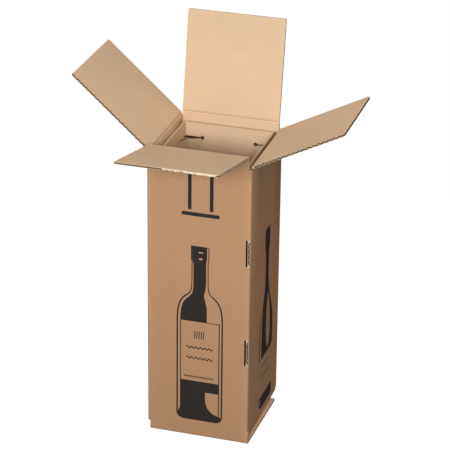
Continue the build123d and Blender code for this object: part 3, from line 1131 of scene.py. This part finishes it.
def make_camera():
    sin_yaw, cos_yaw = math.sin(CAMERA_YAW), math.cos(CAMERA_YAW)
    sin_pitch, cos_pitch = math.sin(CAMERA_PITCH), math.cos(CAMERA_PITCH)
    ahead = Vector((-sin_yaw * cos_pitch, cos_yaw * cos_pitch, -sin_pitch))
    level = Vector((cos_yaw, sin_yaw, 0))
    above_level = level.cross(ahead)
    right = math.cos(CAMERA_ROLL) * level + math.sin(CAMERA_ROLL) * above_level
    upward = -math.sin(CAMERA_ROLL) * level + math.cos(CAMERA_ROLL) * above_level
    data = bpy.data.cameras.new("camera")
    data.lens = CAMERA_LENS
    camera = bpy.data.objects.new("camera", data)
    bpy.context.scene.collection.objects.link(camera)
    turn = Matrix((right, upward, -ahead)).transposed().to_4x4()
    camera.matrix_world = Matrix.Translation(CAMERA_TARGET - CAMERA_DISTANCE * ahead) @ turn
    bpy.context.scene.camera = camera


def softbox(name, place, target, size, power, tint):
    data = bpy.data.lights.new(name, "AREA")
    data.shape = "RECTANGLE"
    data.size, data.size_y = size
    data.energy = power
    data.color = tint
    lamp = bpy.data.objects.new(name, data)
    bpy.context.scene.collection.objects.link(lamp)
    lamp.location = place
    lamp.rotation_euler = (Vector(target) - Vector(place)).to_track_quat("-Z", "Y").to_euler()


def make_light():
    """Dim warm room that the camera sees white, and three soft boxes."""
    world = bpy.data.worlds.new("studio")
    bpy.context.scene.world = world
    world.use_nodes = True
    world.node_tree.nodes.clear()
    add = node_factory(world.node_tree)
    paths = add("ShaderNodeLightPath")
    seen = larger(add, paths.outputs["Is Camera Ray"], paths.outputs["Is Glossy Ray"])
    dim = add("ShaderNodeBackground", {"Color": (*WORLD_TINT, 1), "Strength": WORLD_STRENGTH})
    white = add("ShaderNodeBackground", {"Color": (1, 1, 1, 1), "Strength": 1.0})
    mixed = add("ShaderNodeMixShader", {0: seen, 1: dim.outputs[0], 2: white.outputs[0]})
    add("ShaderNodeOutputWorld", {"Surface": mixed.outputs[0]})
    softbox("key", KEY_PLACE, LIGHT_TARGET, KEY_SIZE, KEY_POWER, KEY_TINT)
    softbox("top", TOP_PLACE, LIGHT_TARGET, TOP_SIZE, TOP_POWER, WARM_TINT)
    softbox("rear", REAR_PLACE, REAR_TARGET, REAR_SIZE, REAR_POWER, WARM_TINT)


def make_floor():
    """Pale floor that the camera sees near white, and that keeps the object's shadow."""
    material, add = new_material("floor_paper")
    paths = add("ShaderNodeLightPath")
    bounce = add("ShaderNodeBsdfDiffuse", {"Color": (FLOOR_BOUNCE, FLOOR_BOUNCE, FLOOR_BOUNCE, 1)})
    seen = add("ShaderNodeBsdfDiffuse", {"Color": (FLOOR_SEEN, FLOOR_SEEN, FLOOR_SEEN, 1)})
    glow = add("ShaderNodeEmission", {"Color": (1, 1, 1, 1), "Strength": FLOOR_GLOW})
    both = add("ShaderNodeAddShader", {0: seen.outputs[0], 1: glow.outputs[0]})
    mixed = add("ShaderNodeMixShader", {0: paths.outputs["Is Camera Ray"], 1: bounce.outputs[0],
                                        2: both.outputs[0]})
    add("ShaderNodeOutputMaterial", {"Surface": mixed.outputs[0]})
    corners = [(u, v, 0) for u, v in rectangle(-FLOOR_REACH, FLOOR_REACH, -FLOOR_REACH, FLOOR_REACH)]
    floor = mesh_piece("floor", corners, [(0, 1, 2, 3)])
    set_material(floor, material)


scene = bpy.context.scene
scene.view_settings.view_transform = "Standard"
make_camera()
make_light()
make_floor()

set_material(frame["nodes"]["outer_case"], case_material())
set_material(frame["nodes"]["inner_liner"], liner_material())

inside_paper = sheet_material("inside_paper", INSIDE_KRAFT)
outside_paper = sheet_material("outside_paper", OUTSIDE_KRAFT)
cut_paper = edge_material("cut_paper", CUT_EDGE, scaled(CUT_EDGE, 0.6))
# The fluting's dark colour is partly painted shade of the deep voids between flutes
fluting_and_shade = edge_material("fluting_and_shade", FLUTING_AND_SHADE, scaled(FLUTING_AND_SHADE, 0.6))
torn_paper = edge_material("torn_paper", TORN_EDGE, CUT_EDGE)
board_materials = [inside_paper, outside_paper, cut_paper, fluting_and_shade, torn_paper]
for number, joint in enumerate(frame["joints"]):
    flap_piece(joint, number, board_materials)
    fold_piece(joint["child"] + "_inner_fold", joint, number, 1, INNER_ROOT, inside_paper)
    fold_piece(joint["child"] + "_outer_fold", joint, number, -1, OUTER_ROOT, outside_paper)

ink = ink_material()
front = wall_place(0, HALF_DEPTH)
right = wall_place(90, HALF_WIDTH)
filled_shape("front_arrows", arrows_shapes(), front, ink)
filled_shape("front_bottle", tall_bottle_shapes(), front, ink)
filled_shape("right_bottle", slim_bottle_shapes(), right, ink)
